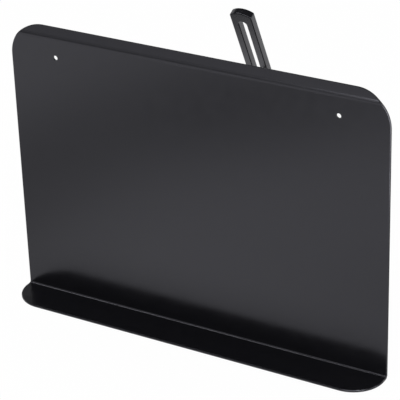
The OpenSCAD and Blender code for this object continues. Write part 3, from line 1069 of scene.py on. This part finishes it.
def level(tree, low, high, source, span=(0.0, 1.0)):
    """A light level that goes from low to high as the source goes over the span."""
    ends = tree.nodes.new("ShaderNodeMapRange")
    ends.inputs["From Min"].default_value, ends.inputs["From Max"].default_value = span
    for socket, value in (("To Min", low), ("To Max", high), ("Value", source)):
        if isinstance(value, float):
            ends.inputs[socket].default_value = value
        else:
            tree.links.new(value, ends.inputs[socket])
    return ends.outputs["Result"]


def product(tree, first, second):
    """One light level times another."""
    times = tree.nodes.new("ShaderNodeMath")
    times.operation = "MULTIPLY"
    tree.links.new(first, times.inputs[0])
    tree.links.new(second, times.inputs[1])
    return times.outputs[0]


floor_paint, floor_shader = new_material("floor_paint", (0.8, 0.8, 0.8), 0.9)
floor_tree = floor_paint.node_tree
floor_glow = add_node(floor_paint, "ShaderNodeEmission")
floor_mix = add_node(floor_paint, "ShaderNodeMixShader")
floor_seen = any_ray(floor_tree, "Is Camera Ray", "Is Glossy Ray", "Is Transmission Ray")
floor_out = floor_tree.nodes["Material Output"]
for source, socket in (
    (level(floor_tree, 0.0, floor_white_share, floor_seen), floor_mix.inputs["Fac"]),
    (floor_shader.outputs["BSDF"], floor_mix.inputs[1]),
    (floor_glow.outputs["Emission"], floor_mix.inputs[2]),
    (floor_mix.outputs["Shader"], floor_out.inputs["Surface"]),
):
    floor_tree.links.new(source, socket)


def floor_light(centre, levels):
    """A light level read off by the distance from a place on the floor."""
    place = add_node(floor_paint, "ShaderNodeTexCoord")
    radius = add_node(floor_paint, "ShaderNodeVectorMath", operation="DISTANCE")
    radius.inputs[1].default_value = centre
    floor_tree.links.new(place.outputs["Object"], radius.inputs[0])
    return light_ramp(floor_tree, levels, radius.outputs["Value"])


# Gloss shows light and shade painted on the floor: a pool of light with a dim ring round it, a
# painted patch of shade at the front, a painted glow behind the desk, the painted shadow behind
# its right end, and the shade close to whatever stands there.
near_shade = add_node(
    floor_paint, "ShaderNodeAmbientOcclusion", samples=8, Distance=near_shade_reach
)
pool = floor_light(pool_centre, pool_levels)
for patch_centre, patch_levels in (
    (front_shade_centre, front_shade_levels),
    (rear_glow_centre, rear_glow_levels),
    *((shadow_centre, shadow_levels) for shadow_centre in shadow_centres),
):
    pool = product(floor_tree, pool, floor_light(patch_centre, patch_levels))
shaded_pool = product(floor_tree, pool, near_shade.outputs["AO"])
floor_level = level(floor_tree, 1.0, shaded_pool, any_ray(floor_tree, "Is Glossy Ray"))
floor_tree.links.new(floor_level, floor_glow.inputs["Strength"])
dress(floor, floor_paint)

world = bpy.data.worlds.new("white_surround")
bpy.context.scene.world = world
world.use_nodes = True
world_tree = world.node_tree
world_light = world_tree.nodes["Background"]
world_light.inputs["Color"].default_value = (1, 1, 1, 1)
# White panels stand all round under a dim ceiling, as gloss shows, and are dimmer at the left.
outlook = world_tree.nodes.new("ShaderNodeTexCoord")
heading = world_tree.nodes.new("ShaderNodeSeparateXYZ")
world_tree.links.new(outlook.outputs["Generated"], heading.inputs["Vector"])
panels = light_ramp(world_tree, panel_levels, heading.outputs["Z"])
panel_side = level(world_tree, left_panel_level, 1.0, heading.outputs["X"], left_panel_span)
lit_panels = product(world_tree, panels, panel_side)
gloss_ray = any_ray(world_tree, "Is Glossy Ray", "Is Transmission Ray")
off_object = level(world_tree, surround_light, lit_panels, gloss_ray)
world_level = level(world_tree, off_object, 1.0, any_ray(world_tree, "Is Camera Ray"))
world_tree.links.new(world_level, world_light.inputs["Strength"])


def softbox(name, place, aim, width, height, watts, gloss_only=False):
    """A soft lamp that points at a place, out of the picture. A small one may light gloss alone."""
    bpy.ops.object.light_add(type="AREA", location=place)
    lamp = bpy.context.object
    lamp.name = name
    lamp.data.shape = "RECTANGLE"
    lamp.data.size = width
    lamp.data.size_y = height
    lamp.data.energy = watts
    lamp.rotation_euler = (Vector(aim) - Vector(place)).to_track_quat("-Z", "Y").to_euler()
    lamp.visible_camera = False
    lamp.visible_diffuse = not gloss_only


softbox(
    "key_lamp", place=(0.4, -1.5, 2.3), aim=(0, 0, 0.15),
    width=1.6, height=1.6, watts=20,
)
softbox(
    "right_lamp", place=(2.2, 0.2, 1.0), aim=(0, 0, 0.2),
    width=1.2, height=1.2, watts=10,
)
softbox(
    "strip_lamp", place=(0.598, -0.315, 0.31), aim=(0.245, -0.127, 0.31),
    width=0.08, height=0.58, watts=0.9, gloss_only=True,
)
softbox(
    "corner_lamp", place=(0.614, -0.518, 0.588), aim=(0.236, -0.127, 0.334),
    width=0.09, height=0.42, watts=1.3, gloss_only=True,
)
softbox(
    "top_lamp", place=(-0.90, -0.22, 1.8), aim=(0, -0.127, 0),
    width=0.5, height=0.9, watts=8,
)
softbox(
    "bend_lamp", place=(-0.2, -1.5, 0.58), aim=(0.24, -0.12, 0.345),
    width=0.3, height=0.2, watts=0.7, gloss_only=True,
)

bpy.context.scene.view_settings.view_transform = "Standard"
